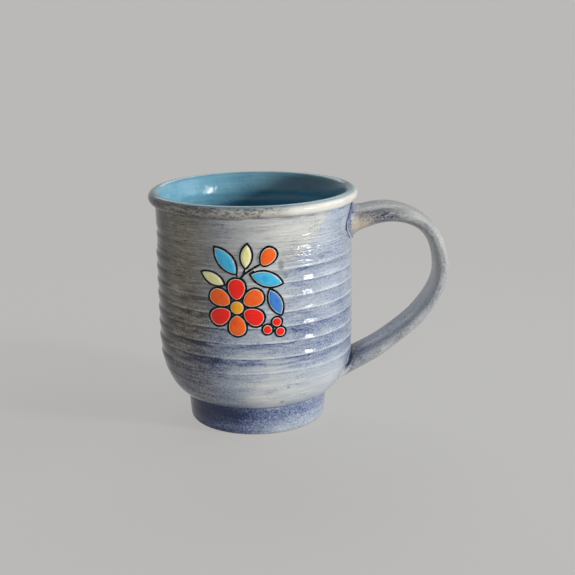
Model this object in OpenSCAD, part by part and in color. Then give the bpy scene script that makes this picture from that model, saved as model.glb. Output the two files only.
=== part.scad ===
// Hand-thrown coffee mug: a ringed wall on a trimmed foot, a rolled lip, a pulled strap handle
// and a spray of flowers in raised enamel. Millimetres, +Z up. The turning axis is the Z axis,
// and the mug stands on Z = 0. The handle points along +X, and the flowers face -Y.

/* [Body] */
// Height from the table to the crest of the lip
mug_h = 101.5; // [96:0.5:114]
// Radius of the wall at the edges of the throwing rings
wall_r = 42.4; // [40:0.2:47]
// Thickness of the thrown wall
wall_t = 4.8; // [4.2:0.1:5.6]
// Height of the rounded belly between the foot and the straight wall
belly_h = 25.8; // [22:0.2:30]
// Thickness of the floor
floor_t = 6; // [5:0.5:8]
// Height of the rounded corner inside, between the floor and the wall
corner_h = 24; // [18:0.5:30]
// Reach of the rounded corner inside, from the wall towards the axis
corner_reach = 20; // [14:0.5:26]

/* [Foot] */
// Radius of the foot where the belly leaves it
foot_r = 30.5; // [28:0.5:33]
// Height of the foot
foot_h = 12.2; // [10:0.2:15]
// Thickness of the foot ring
foot_t = 6; // [4:0.5:8]
// Height of the hollow turned out under the floor
recess_h = 7.5; // [5:0.5:9]
// How much narrower the foot is at the table
foot_taper = 0.8; // [0:0.1:2]
// Radius of the foot's outer edge
foot_edge_r = 1.4; // [0.6:0.1:2]

/* [Throwing rings] */
// Number of rings left by the fingers
ring_count = 8; // [4:1:8]
// Height of the crest of the lip above the highest ring
ring_drop = 25.5; // [22:0.5:30]
// Distance between the two highest rings
ring_pitch = 5.8; // [5:0.1:6.2]
// How much wider each ring is than the one above it
ring_gain = 0.15; // [0:0.01:0.18]
// How far the wall draws in below each ring
ring_depth = 0.55; // [0.2:0.05:0.8]
// Height of the ledge at the top of each ring
ledge_h = 1.1; // [0.6:0.1:1.6]

/* [Lip] */
// Radius of the rolled bead
lip_roll_r = 2.6; // [2.2:0.1:3]
// How far the bead stands out from the wall
lip_overhang = 2.2; // [1.4:0.1:2.6]
// Height over which the wall opens out inside, below the bead
flare_h = 15.5; // [10:0.5:22]

/* [Inner glaze] */
// Thickness of the coloured glaze inside the mug
liner_t = 0.6; // [0.4:0.05:0.8]

/* [Handle] */
// How far the middle of the strap stands out from the wall
strap_reach = 38.5; // [34:0.5:44]
// Width of the strap where the fingers hold it
strap_w = 18; // [15:0.5:21]
// Thickness of the strap at its outer bend
strap_t = 6.2; // [5.2:0.1:7.2]
// Height of the crest of the lip above the strap's outer bend
bend_drop = 36.2; // [33:0.2:40]
// Height of the crest of the lip above the strap's upper end, which is buried in the wall
upper_root_drop = 18.5; // [17.5:0.1:20]
// Width of the strap at its upper root
upper_root_w = 25; // [22:0.5:27]
// Thickness of the strap at its upper root
upper_root_t = 9.2; // [8:0.1:9.8]
// Slope of the strap as it leaves its upper root, in degrees
upper_slope = 28.5; // [24:0.5:31]
// Height of the strap's lower end above the table, where it is buried in the belly
lower_root_h = 19.8; // [19.4:0.2:23]
// Width of the strap at its lower root
lower_root_w = 20; // [18:0.5:22]
// Thickness of the strap at its lower root
lower_root_t = 7.8; // [6.6:0.1:8.2]
// Slope of the strap as it leaves its lower root, in degrees
lower_slope = 24; // [20:0.5:27]

/* [Handle joints] */
// Thickness of the slip pressed on the wall round each root
joint_t = 1.4; // [1:0.1:1.8]
// How far the upper slip spreads beyond the strap at each side
upper_spread_w = 4; // [2.5:0.5:5]
// How far the upper slip spreads above and below the strap
upper_spread_h = 3.8; // [3.2:0.1:4.2]
// How far the lower slip spreads beyond the strap at each side
lower_spread_w = 2.5; // [1.5:0.5:3.5]
// How far the lower slip spreads above and below the strap
lower_spread_h = 3.6; // [3.2:0.1:4]

/* [Enamel] */
// Width of the flower spray
spray_w = 34.5; // [33:0.5:38]
// Height of the flower spray
spray_h = 37.5; // [37:0.5:41]
// Height of the crest of the lip above the middle of the spray
spray_drop = 34.5; // [32.5:0.5:37.5]
// How far the middle of the spray lies to the left of the axis
spray_left = 4; // [2:0.5:6]
// How far the enamel stands out from the wall
enamel_rise = 0.4; // [0.3:0.05:0.7]
// How far the drawn line stands out from the wall
line_rise = 0.2; // [0.15:0.05:0.3]
// Width of the drawn line
line_w = 0.9; // [0.7:0.05:1]
// Gap between an enamel field and the line round it
halo_w = 0.25; // [0.2:0.05:0.3]
// Number of petals on the blossom
petal_count = 6; // [4:1:6]
// Length of a petal
petal_l = 7.8; // [7:0.1:8.2]
// Width of a petal
petal_w = 6.1; // [5:0.1:6.3]
// Radius of the blossom's centre
blossom_core_r = 2.3; // [1.8:0.1:2.5]
// Length of the longest leaf
leaf_l = 12; // [10.5:0.1:12.2]
// Width of the widest leaf
leaf_w = 5; // [4.2:0.1:5.1]
// Radius of a berry
berry_r = 1.5; // [1.1:0.1:1.6]
// Length of the bud
bud_l = 7; // [6:0.1:7.2]
// Width of the bud
bud_w = 4.9; // [4:0.1:5.1]

/* [Hidden] */
$fn = 96;
// How far a cutter runs past what it cuts
overrun = 3;

// Levels and radii of the thrown body
belly_top_z = foot_h + belly_h;
floor_top_z = recess_h + floor_t;
clay_in_r = wall_r - wall_t;
foot_in_r = foot_r - foot_t;
lip_mid_r = wall_r + lip_overhang - lip_roll_r;
lip_mid_z = mug_h - lip_roll_r;
seat_z = lip_mid_z - lip_roll_r;
flare_z = mug_h - flare_h;

// Angles, in degrees, where the curves of the outline start and end
belly_start = 77;
lip_turn = 150;
lip_glaze_edge = 78;
flare_end = 50;
belly_reach = (wall_r - foot_r) / (1 - cos(belly_start));
belly_depth = belly_h / sin(belly_start);

// Steps along the curves
belly_steps = 10;
lip_steps = 10;
flare_steps = 6;
corner_steps = 10;
edge_steps = 4;

// Radius of the plain outside at a height, before the rings are pressed into it
function plain_r(z) =
    let (tilt = asin(max(0, belly_top_z - z) / belly_depth))
    wall_r - belly_reach * (1 - cos(tilt));

// Height of a ring's ledge, with ring 0 the highest
function ring_z(k) = mug_h - ring_drop - k * ring_pitch - ring_gain * k * (k - 1) / 2;
lowest_edge_z = ring_z(ring_count - 1) - ledge_h / 2;
lowest_tilt = asin(max(0, belly_top_z - lowest_edge_z) / belly_depth);

// Outside of the wall from the foot to the seat of the lip
belly_points = [for (i = [0:belly_steps - 1])
    let (tilt = belly_start + (lowest_tilt - belly_start) * i / belly_steps,
         z = belly_top_z - belly_depth * sin(tilt))
    [plain_r(z), z]];
ring_points = [for (k = [ring_count - 1:-1:0]) each [
    [plain_r(ring_z(k) - ledge_h / 2), ring_z(k) - ledge_h / 2],
    [plain_r(ring_z(k) + ledge_h / 2) - ring_depth, ring_z(k) + ledge_h / 2]]];
outside_points = concat(belly_points, ring_points, [[lip_mid_r, seat_z]]);

// The inside is worked out at a depth below the finished glaze: 0 is the glaze, liner_t the clay
function turn_r(depth) = lip_mid_r + (lip_roll_r - depth) * cos(lip_turn);
function turn_z(depth) = lip_mid_z + (lip_roll_r - depth) * sin(lip_turn);
function straight_r(depth) = clay_in_r - liner_t + depth;
function inside_r(z, depth) =
    let (rise = (turn_z(depth) - flare_z) / sin(flare_end),
         reach = (turn_r(depth) - straight_r(depth)) / (1 - cos(flare_end)))
    straight_r(depth) + reach * (1 - cos(asin((z - flare_z) / rise)));

// Arc of the lip's bead at a radius, between two angles
function lip_arc(r, from, to) = [for (i = [0:lip_steps])
    let (a = from + (to - from) * i / lip_steps)
    [lip_mid_r + r * cos(a), lip_mid_z + r * sin(a)]];

// Inside of the lip from the bead's turn down to its seat
function lip_inside(depth) = [for (share = [0.5, 1])
    let (z = turn_z(depth) + (seat_z - turn_z(depth)) * share)
    [inside_r(z, depth), z]];

// Inside of the wall from the lip's seat down to the middle of the floor
function wall_inside(depth) =
    let (bottom_z = floor_top_z + liner_t - depth, top_z = floor_top_z + corner_h)
    concat(
        [for (i = [1:flare_steps])
            let (z = seat_z + (flare_z - seat_z) * i / flare_steps)
            [inside_r(z, depth), z]],
        [for (i = [0:corner_steps])
            let (a = 90 * i / corner_steps)
            [straight_r(depth) - corner_reach * (1 - cos(a)), top_z - (top_z - bottom_z) * sin(a)]],
        [[0, bottom_z]]);

function reversed(list) = [for (i = [len(list) - 1:-1:0]) list[i]];

// Middle line of the strap, in two curves that meet at its outer bend
strap_bury = 7.9;
upper_arm = 33.8;
bend_upper_arm = 18.7;
bend_lower_arm = 20.5;
lower_arm = 20;
root_x = wall_r - strap_bury;
bend_x = wall_r + strap_reach;
bend_z = mug_h - bend_drop;
upper_root_z = mug_h - upper_root_drop;
strap_rings = 44;
section_sides = 20;
section_power = 2.6;
upper_taper_share = 0.62;
lower_taper_share = 0.8;

upper_curve = [[root_x, upper_root_z],
    [root_x + upper_arm * cos(upper_slope), upper_root_z + upper_arm * sin(upper_slope)],
    [bend_x, bend_z + bend_upper_arm],
    [bend_x, bend_z]];
lower_curve = [[bend_x, bend_z],
    [bend_x, bend_z - bend_lower_arm],
    [root_x + lower_arm * cos(lower_slope), lower_root_h + lower_arm * sin(lower_slope)],
    [root_x, lower_root_h]];

function curve_point(c, t) =
    pow(1 - t, 3) * c[0] + 3 * t * pow(1 - t, 2) * c[1] + 3 * t * t * (1 - t) * c[2] + t * t * t * c[3];
function curve_slope(c, t) =
    pow(1 - t, 2) * (c[1] - c[0]) + 2 * t * (1 - t) * (c[2] - c[1]) + t * t * (c[3] - c[2]);

// Place s runs from 0 at the upper root through 1 at the bend to 2 at the lower root
function strap_point(s) = s < 1 ? curve_point(upper_curve, s) : curve_point(lower_curve, s - 1);
function strap_slope(s) = s < 1 ? curve_slope(upper_curve, s) : curve_slope(lower_curve, s - 1);
function taper(s, reach_share) = pow(cos(90 * min(1, s / reach_share)), 2);
function strap_size(s, middle, upper, lower) =
    middle + (upper - middle) * taper(s, upper_taper_share)
    + (lower - middle) * taper(2 - s, lower_taper_share);
function round_sign(x) = sign(x) * pow(abs(x), 2 / section_power);
function strap_ring(s) =
    let (p = strap_point(s), d = strap_slope(s) / norm(strap_slope(s)),
         w = strap_size(s, strap_w, upper_root_w, lower_root_w),
         t = strap_size(s, strap_t, upper_root_t, lower_root_t))
    [for (i = [0:section_sides - 1])
        let (a = 360 * i / section_sides, out = round_sign(cos(a)) * t / 2)
        [p.x - d.y * out, round_sign(sin(a)) * w / 2, p.y + d.x * out]];

// Height at which a run of the strap's middle line leaves the slip round its root
joint_steps = 100;
function leaving_z(points) = [for (p = points) if (p.x > plain_r(p.y) + joint_t) p.y][0];
upper_joint_z = leaving_z([for (i = [0:joint_steps]) strap_point(i / joint_steps)]);
lower_joint_z = leaving_z([for (i = [0:joint_steps]) strap_point(2 - i / joint_steps)]);
oval_sides = 48;

// Places of the motifs, as shares of the spray's width and height from its middle
blossom_place_shares = [-0.1, -0.18];
leaf_place_shares = [[0.25, 0.13], [-0.22, 0.33], [0.35, -0.13], [-0.37, 0.13], [0.02, 0.38]];
leaf_size_shares = [1, 1, 0.85, 0.72, 0.7];
leaf_angles = [-18, 128, -68, 152, 84];
leaf_colors = ["deepskyblue", "deepskyblue", "royalblue", "khaki", "khaki"];
leaf_count = len(leaf_size_shares);
berry_place_shares = [[0.36, -0.35], [0.25, -0.43], [0.4, -0.46]];
berry_count = len(berry_place_shares);
bud_place_shares = [0.27, 0.37];
bud_angle = 55;
petal_fullness_share = 0.2;
petal_sides = 32;
petal_turn = 30;
stem_curves_shares = [
    [[-0.06, 0.12], [-0.03, 0.2], [0.08, 0.24], [0.2, 0.3]],
    [[0.1, 0.22], [0.07, 0.2], [0.06, 0.2], [0.07, 0.17]],
    [[-0.02, 0.18], [-0.01, 0.21], [0, 0.24], [0.01, 0.28]],
    [[-0.08, 0.13], [-0.09, 0.16], [-0.1, 0.19], [-0.11, 0.22]]];
stem_steps = 12;

spray_z = mug_h - spray_drop;
petal_mid_r = blossom_core_r + 2 * halo_w + line_w + petal_l / 2;

// The trimmed ring that the mug stands on
module foot_ring() {
    edge_r = foot_r - foot_taper - foot_edge_r;
    color("slateblue") rotate_extrude() polygon(concat(
        [[foot_in_r, 0]],
        [for (i = [0:edge_steps])
            let (a = -90 + 90 * i / edge_steps)
            [edge_r + foot_edge_r * cos(a), foot_edge_r + foot_edge_r * sin(a)]],
        [[foot_r, foot_h], [foot_in_r, foot_h]]));
}

// Wall, belly and floor, thrown in one piece
module mug_wall() {
    color("lightsteelblue") rotate_extrude() polygon(concat(
        [[0, recess_h], [foot_in_r, recess_h], [foot_in_r, foot_h]],
        outside_points,
        [[inside_r(seat_z, liner_t), seat_z]],
        wall_inside(liner_t)));
}

// Bead rolled over at the mouth
module rolled_lip() {
    color("lavender") rotate_extrude() polygon(concat(
        lip_arc(lip_roll_r, -90, lip_glaze_edge),
        lip_arc(lip_roll_r - liner_t, lip_glaze_edge, lip_turn),
        lip_inside(liner_t)));
}

// Glaze poured inside, up over the crest of the lip
module inner_glaze() {
    color("cadetblue") rotate_extrude() polygon(concat(
        inner_skin(0),
        reversed(inner_skin(liner_t))));
}

function inner_skin(depth) =
    concat(lip_arc(lip_roll_r - depth, lip_glaze_edge, lip_turn), lip_inside(depth), wall_inside(depth));

// The ringed outside, filled in to the axis
module thrown_core() {
    rotate_extrude() polygon(concat([[0, foot_h]], outside_points, [[0, seat_z]]));
}

// The outside without its rings, grown by the thickness of what lies on it
module plain_core(grow) {
    rotate_extrude() polygon(concat(
        [[0, foot_h], [foot_r, foot_h]],
        [for (i = [0:belly_steps])
            let (tilt = belly_start * (1 - i / belly_steps))
            [wall_r - belly_reach * (1 - cos(tilt)) + grow, belly_top_z - belly_depth * sin(tilt)]],
        [[wall_r + grow, seat_z], [0, seat_z]]));
}

// Pulled strap, cut to sit on the slip at both ends
module handle_strap() {
    rings = [for (i = [0:strap_rings]) strap_ring(2 * i / strap_rings)];
    sides = [for (i = [0:strap_rings - 1]) for (j = [0:section_sides - 1])
        let (next = (j + 1) % section_sides, a = i * section_sides, b = a + section_sides)
        each [[a + j, b + j, b + next], [a + j, b + next, a + next]]];
    first_end = [for (j = [0:section_sides - 1]) j];
    last_end = [for (j = [section_sides - 1:-1:0]) strap_rings * section_sides + j];
    color("silver") difference() {
        polyhedron([for (ring = rings) each ring], concat(sides, [first_end, last_end]));
        plain_core(joint_t);
    }
}

// Slip pressed on the wall round a root of the strap
module slip_pad(z, half_w, half_h) {
    color("lightslategray") difference() {
        intersection() {
            plain_core(joint_t);
            translate([0, 0, z]) rotate([90, 0, 90])
                linear_extrude(wall_r + joint_t + overrun)
                polygon([for (i = [0:oval_sides - 1])
                    [half_w * cos(360 * i / oval_sides), half_h * sin(360 * i / oval_sides)]]);
        }
        thrown_core();
    }
}

module upper_joint() {
    slip_pad(upper_joint_z, upper_root_w / 2 + upper_spread_w, upper_root_t / 2 + upper_spread_h);
}

module lower_joint() {
    slip_pad(lower_joint_z, lower_root_w / 2 + lower_spread_w, lower_root_t / 2 + lower_spread_h);
}

// Flat shape laid on the front of the wall, standing out from it by its rise
module raised(rise) {
    difference() {
        intersection() {
            translate([-spray_left, 0, spray_z]) rotate([90, 0, 0])
                linear_extrude(wall_r + rise + overrun) children();
            plain_core(rise);
        }
        thrown_core();
    }
}

// Puts a flat shape at its share of the spray's width and height
module at_share(place_shares, angle) {
    translate([place_shares.x * spray_w, place_shares.y * spray_h]) rotate(angle) children();
}

// Egg-shaped field, fuller at its outer end
module petal_shape(l, w, grow) {
    polygon([for (i = [0:petal_sides - 1])
        let (a = 360 * i / petal_sides)
        [(l / 2 + grow) * cos(a), (w / 2 + grow) * sin(a) * (1 + petal_fullness_share * cos(a))]]);
}

// Leaf with two pointed ends, between two arcs
module leaf_shape(size_share, grow) {
    half_l = leaf_l * size_share / 2;
    half_w = leaf_w * size_share / 2;
    arc_r = (half_l * half_l + half_w * half_w) / (2 * half_w);
    intersection() {
        translate([0, arc_r - half_w]) circle(arc_r + grow);
        translate([0, half_w - arc_r]) circle(arc_r + grow);
    }
}

module petal_field(i, grow) {
    at_share(blossom_place_shares, petal_turn + 360 * i / petal_count)
        translate([petal_mid_r, 0]) petal_shape(petal_l, petal_w, grow);
}

module core_field(grow) {
    at_share(blossom_place_shares, 0) circle(blossom_core_r + grow);
}

module leaf_field(i, grow) {
    at_share(leaf_place_shares[i - 1], leaf_angles[i - 1]) leaf_shape(leaf_size_shares[i - 1], grow);
}

module berry_field(i, grow) {
    at_share(berry_place_shares[i - 1], 0) circle(berry_r + grow);
}

module bud_field(grow) {
    at_share(bud_place_shares, bud_angle) petal_shape(bud_l, bud_w, grow);
}

module blossom_fields(grow) {
    for (i = [1:petal_count]) petal_field(i, grow);
    core_field(grow);
}

module spray_fields(grow) {
    for (i = [1:leaf_count]) leaf_field(i, grow);
    for (i = [1:berry_count]) berry_field(i, grow);
    bud_field(grow);
}

// What lies behind the blossom stops short of the line round it
module behind_blossom() {
    difference() {
        children();
        blossom_fields(2 * halo_w + line_w);
    }
}

// Stem drawn as a stroke along a curve
module stem(curve_shares) {
    curve = [for (p = curve_shares) [p.x * spray_w, p.y * spray_h]];
    strokes = [for (i = [0:stem_steps])
        let (t = i / stem_steps, d = curve_slope(curve, t) / norm(curve_slope(curve, t)))
        [curve_point(curve, t), [-d.y, d.x] * line_w / 2]];
    polygon(concat(
        [for (stroke = strokes) stroke[0] + stroke[1]],
        [for (stroke = reversed(strokes)) stroke[0] - stroke[1]]));
}

module petal(i) {
    color(i % 2 == 0 ? "orangered" : "red") raised(enamel_rise) petal_field(i, 0);
}

module blossom_core() {
    color("orange") raised(enamel_rise) core_field(0);
}

module bud() {
    color("orangered") raised(enamel_rise) behind_blossom() bud_field(0);
}

module leaf(i) {
    color(leaf_colors[i - 1]) raised(enamel_rise) behind_blossom() leaf_field(i, 0);
}

module berry(i) {
    color("red") raised(enamel_rise) behind_blossom() berry_field(i, 0);
}

// Lines drawn round the blossom's petals and centre
module blossom_line() {
    color("midnightblue") raised(line_rise) difference() {
        blossom_fields(halo_w + line_w);
        blossom_fields(halo_w);
    }
}

// Lines drawn round the leaves, berries and bud, and the stems between them
module spray_line() {
    color("midnightblue") raised(line_rise) difference() {
        union() {
            spray_fields(halo_w + line_w);
            for (curve_shares = stem_curves_shares) stem(curve_shares);
        }
        spray_fields(halo_w);
        blossom_fields(halo_w + line_w);
    }
}

foot_ring();
mug_wall();
rolled_lip();
inner_glaze();
handle_strap();
upper_joint();
lower_joint();
for (i = [1:petal_count]) petal(i);
blossom_core();
bud();
for (i = [1:leaf_count]) leaf(i);
for (i = [1:berry_count]) berry(i);
blossom_line();
spray_line();
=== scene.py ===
import math

import bpy
import numpy as np
from mathutils import Matrix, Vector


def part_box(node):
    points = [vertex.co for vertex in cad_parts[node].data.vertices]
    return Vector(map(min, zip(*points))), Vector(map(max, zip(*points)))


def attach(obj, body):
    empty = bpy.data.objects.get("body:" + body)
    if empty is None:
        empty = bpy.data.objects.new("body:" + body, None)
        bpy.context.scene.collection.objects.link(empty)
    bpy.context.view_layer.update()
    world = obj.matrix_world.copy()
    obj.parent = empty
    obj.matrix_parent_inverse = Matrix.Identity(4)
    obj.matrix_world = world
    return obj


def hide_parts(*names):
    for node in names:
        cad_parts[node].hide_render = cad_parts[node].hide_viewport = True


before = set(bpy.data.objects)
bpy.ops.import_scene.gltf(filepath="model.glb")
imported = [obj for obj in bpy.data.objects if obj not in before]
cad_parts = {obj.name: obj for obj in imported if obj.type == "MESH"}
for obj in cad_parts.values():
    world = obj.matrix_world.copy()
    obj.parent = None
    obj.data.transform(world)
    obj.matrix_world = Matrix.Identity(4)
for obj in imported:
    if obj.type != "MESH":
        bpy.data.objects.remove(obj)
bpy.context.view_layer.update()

# Lengths are millimetres, except those of the lamps and the floor, which are metres.
MM = 0.001


def node_box(node):
    lo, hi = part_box(node)
    return np.array(lo) / MM, np.array(hi) / MM


# The frame gives the driving sizes.
WALL_R = node_box("mug_wall")[1][0]
SEAT_Z = node_box("mug_wall")[1][2]
RECESS_Z = node_box("mug_wall")[0][2]
FOOT_R = node_box("foot_ring")[1][0]
FOOT_H = node_box("foot_ring")[1][2]
LIP_OUT_R = node_box("rolled_lip")[1][0]
MUG_H = node_box("inner_glaze")[1][2]
FLOOR_Z = node_box("inner_glaze")[0][2]
STRAP_END_X = node_box("handle_strap")[1][0]

# Body
BELLY_H = 25.8
BELLY_START = math.radians(77)
BELLY_TOP_Z = FOOT_H + BELLY_H
BELLY_REACH = (WALL_R - FOOT_R) / (1 - math.cos(BELLY_START))
BELLY_DEPTH = BELLY_H / math.sin(BELLY_START)
WALL_T = 4.8
LINER_T = 0.6
GLAZED_IN_R = WALL_R - WALL_T - LINER_T
CORNER_H = 24
CORNER_REACH = 20
FOOT_T = 6
FOOT_TAPER = 0.8
FOOT_EDGE_R = 1.4
SWELL, SWELL_ROOM, SWELL_START_H = 0.07, 0.12, 12

# Throwing rings
RING_COUNT = 8
RING_DROP = 25.5
RING_PITCH = 5.8
RING_GAIN = 0.15
RING_DEPTH = 0.55
RING_Z = [MUG_H - RING_DROP - k * RING_PITCH - RING_GAIN * k * (k - 1) / 2 for k in range(RING_COUNT)]
RING_WANDER, RING_WANDER_H = 0.24, 6.4
LEDGE_LOW, LEDGE_HIGH = 0.55, 1.3
TOP_KEPT = 0.73

# Small ledges: height of the middle, depth, and height of the ledge itself
SMALL_LEDGES = [(91.8, 0.05, 0.95), (88.4, 0.14, 0.95), (84.8, 0.42, 1.6), (81.6, 0.14, 0.95),
                (78.8, 0.3, 1.2), (26.2, 0.2, 0.95), (20.3, 0.09, 0.95)]
SMALL_FALL = 3.2

# Smudges on the wall: place in degrees from the handle, height, half width and half height
SMUDGES = [(284.4, 77.2, 1.0, 1.7), (286.8, 72.7, 0.9, 1.1), (286, 17, 0.8, 0.6), (288.5, 24.5, 0.5, 0.5)]

# Lip, with the glaze's edge and the inner turn in degrees
LIP_ROLL_R = 2.6
LIP_MID_R = LIP_OUT_R - LIP_ROLL_R
LIP_MID_Z = MUG_H - LIP_ROLL_R
GLAZE_EDGE, LIP_TURN = 78, 150
FLARE_DROP = 15.5
FLARE_Z = MUG_H - FLARE_DROP
FLARE_END = math.radians(50)

# Handle
STRAP_W, STRAP_T = 18, 6.2
UPPER_W, UPPER_T = 25, 9.2
LOWER_W, LOWER_T = 20, 7.8
UPPER_TAPER, LOWER_TAPER = 0.62, 0.8
CORNER_POWER = 2.6
ROOT_DEPTH, SUNK_DEPTH = 7.9, 2.4
ROOT_X = WALL_R - ROOT_DEPTH
BEND_X = STRAP_END_X - STRAP_T / 2
UPPER_ROOT_DROP, BEND_DROP = 18.5, 36.2
UPPER_ROOT_Z, BEND_Z, LOWER_ROOT_Z = MUG_H - UPPER_ROOT_DROP, MUG_H - BEND_DROP, 19.8
UPPER_SLOPE, LOWER_SLOPE = math.radians(28.5), math.radians(24)
UPPER_PULL, BEND_UP, BEND_DOWN, LOWER_PULL = 33.8, 18.7, 20.5, 20
CREASE_TURN, CREASE_DEPTH = 2.16, 0.2
CRACK_BACK = 0.14
JOINT_T = 1.4
JOINT_LAP, JOINT_REACH = 1.6, 0.05
UPPER_LAP_W, UPPER_LAP_H = 4, 3.8
LOWER_LAP_W, LOWER_LAP_H = 2.5, 3.6

# Enamel spray, with its places as shares of its width and height
SPRAY_W, SPRAY_H = 34.5, 37.5
SPRAY_X, SPRAY_DROP = -4, 34.5
SPRAY_Z = MUG_H - SPRAY_DROP
HALO_W, LINE_W = 0.25, 0.9
LINE_GRID, LINE_UNEVEN = 0.16, 0.035
PETAL_L, PETAL_W, CORE_R = 7.8, 6.1, 2.3
PETAL_MID_R = CORE_R + 2 * HALO_W + LINE_W + PETAL_L / 2
PETAL_SWELL = 0.2
BLOSSOM_AT = (-0.1, -0.18)
LEAF_L, LEAF_W = 12, 5
LEAVES = [((0.25, 0.13), 1, -18), ((-0.22, 0.33), 1, 128), ((0.35, -0.13), 0.85, -68),
          ((-0.37, 0.13), 0.72, 152), ((0.02, 0.38), 0.7, 84)]
LEAF_ENAMELS = ["enamel_sky", "enamel_sky", "enamel_blue", "enamel_cream", "enamel_cream"]
BERRY_R = 1.5
BERRIES = [(0.36, -0.35), (0.25, -0.43), (0.4, -0.46)]
BUD_L, BUD_W = 7, 4.9
BUD_AT, BUD_ANGLE = (0.27, 0.37), 55
STEMS = [[(-0.06, 0.12), (-0.03, 0.2), (0.08, 0.24), (0.2, 0.3)],
         [(0.1, 0.22), (0.07, 0.2), (0.06, 0.2), (0.07, 0.17)],
         [(-0.02, 0.18), (-0.01, 0.21), (0, 0.24), (0.01, 0.28)],
         [(-0.08, 0.13), (-0.09, 0.16), (-0.1, 0.19), (-0.11, 0.22)]]

# Photograph's view
IMAGE_SIDE = 575
FOCAL_PX = 1090.11
CAMERA_AT = (0, -459.41, 183.76)
CAMERA_YAW, CAMERA_PITCH, CAMERA_ROLL = 1.76, 15.46, -0.908
SENSOR_W = 36


# Small tools

def smooth_step(x):
    x = np.clip(x, 0, 1)
    return x * x * (3 - 2 * x)


def rise(x, start, full):
    """Goes softly from 0 at the start to 1 where it is full, which may lie on either side."""
    return smooth_step((x - start) / (full - start))


def bell(x, width):
    return np.exp(-(x / width) ** 2)


def degrees_of(angle):
    """Place round the mug in degrees, from the handle."""
    return np.degrees(angle) % 360


def circle(count):
    """Even angles round one turn."""
    return np.arange(count) * 2 * math.pi / count


def waver(angle, size, seed, waves=5):
    """Uneven line round the axis that closes on itself."""
    draw = np.random.default_rng(seed)
    total = np.zeros_like(np.asarray(angle, float))
    for wave in range(1, waves + 1):
        total = total + draw.normal() / wave * np.sin(wave * angle + draw.uniform(0, 2 * math.pi))
    return size * total


def make_mesh(name, points, faces, material, attributes=None, flow=None, sharp=40):
    mesh = bpy.data.meshes.new(name)
    mesh.from_pydata((np.asarray(points) * MM).tolist(), [], faces)
    mesh.validate()
    mesh.polygons.foreach_set("use_smooth", [True] * len(mesh.polygons))
    mesh.set_sharp_from_angle(angle=math.radians(sharp))
    for key, values in (attributes or {}).items():
        layer = mesh.attributes.new(key, "FLOAT", "POINT")
        layer.data.foreach_set("value", np.asarray(values, np.float32).ravel())
    layer = mesh.attributes.new("flow", "FLOAT_VECTOR", "POINT")
    layer.data.foreach_set("vector", np.asarray(points if flow is None else flow, np.float32).ravel())
    mesh.materials.append(material)
    obj = bpy.data.objects.new(name, mesh)
    bpy.context.scene.collection.objects.link(obj)
    return obj


def loft(name, rows, material, attributes, flow=None, poles=True, closed=False, flip=False):
    """Skin over rows of closed loops. With poles, the first and last rows shrink to their middle points."""
    rows = np.asarray(rows, float)
    count, sides = rows.shape[:2]
    index = np.arange(count * sides).reshape(count, sides)
    beside = np.roll(index, -1, axis=1)
    low, high = (index, np.roll(index, -1, axis=0)) if closed else (index[:-1], index[1:])
    low_next, high_next = (beside, np.roll(beside, -1, axis=0)) if closed else (beside[:-1], beside[1:])
    faces = np.stack([low, low_next, high_next, high], axis=-1).reshape(-1, 4).tolist()
    points = rows.reshape(-1, 3)
    tracks = {key: np.broadcast_to(value, (count, sides)).reshape(-1) for key, value in attributes.items()}
    course = points if flow is None else np.asarray(flow, float).reshape(-1, 3)
    if poles:
        for end, ring in ((0, index[0]), (count - 1, index[-1])):
            pole = len(points)
            points = np.vstack([points, points[ring].mean(0)])
            course = np.vstack([course, course[ring].mean(0)])
            tracks = {key: np.append(value, value[ring].mean()) for key, value in tracks.items()}
            pairs = zip(ring.tolist(), np.roll(ring, -1).tolist())
            faces += [(b, a, pole) if end == 0 else (a, b, pole) for a, b in pairs]
    if flip:
        faces = [tuple(reversed(face)) for face in faces]
    return make_mesh(name, points, faces, material, tracks, course)


def turn(radius, height, angle):
    """Points of a turned surface, from radii and heights for rows and angles for columns."""
    radius, height, angle = np.broadcast_arrays(radius, height, angle)
    return np.stack([radius * np.cos(angle), radius * np.sin(angle), height], axis=-1)


# Outside of the thrown wall

def plain_r(z):
    tilt = np.arcsin(np.clip((BELLY_TOP_Z - z) / BELLY_DEPTH, 0, 1))
    return WALL_R - BELLY_REACH * (1 - np.cos(tilt))


def ring_shift(angle, z):
    """How far the rings wander up or down."""
    total = np.zeros(np.broadcast(angle, z).shape)
    for k, level in enumerate(RING_Z):
        near = np.clip(1 - abs(z - level) / RING_WANDER_H, 0, 1)
        total = total + waver(angle, RING_WANDER, 40 + k, 4) * near
    return total


def ledge_step(level, low, high):
    """Rises from 0 to 1 over a ledge, nearly evenly, so that the ledge slopes the same all over."""
    share = np.clip((level - low) / (high - low), 0, 1)
    return 0.8 * share + 0.2 * smooth_step(share)


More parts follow.
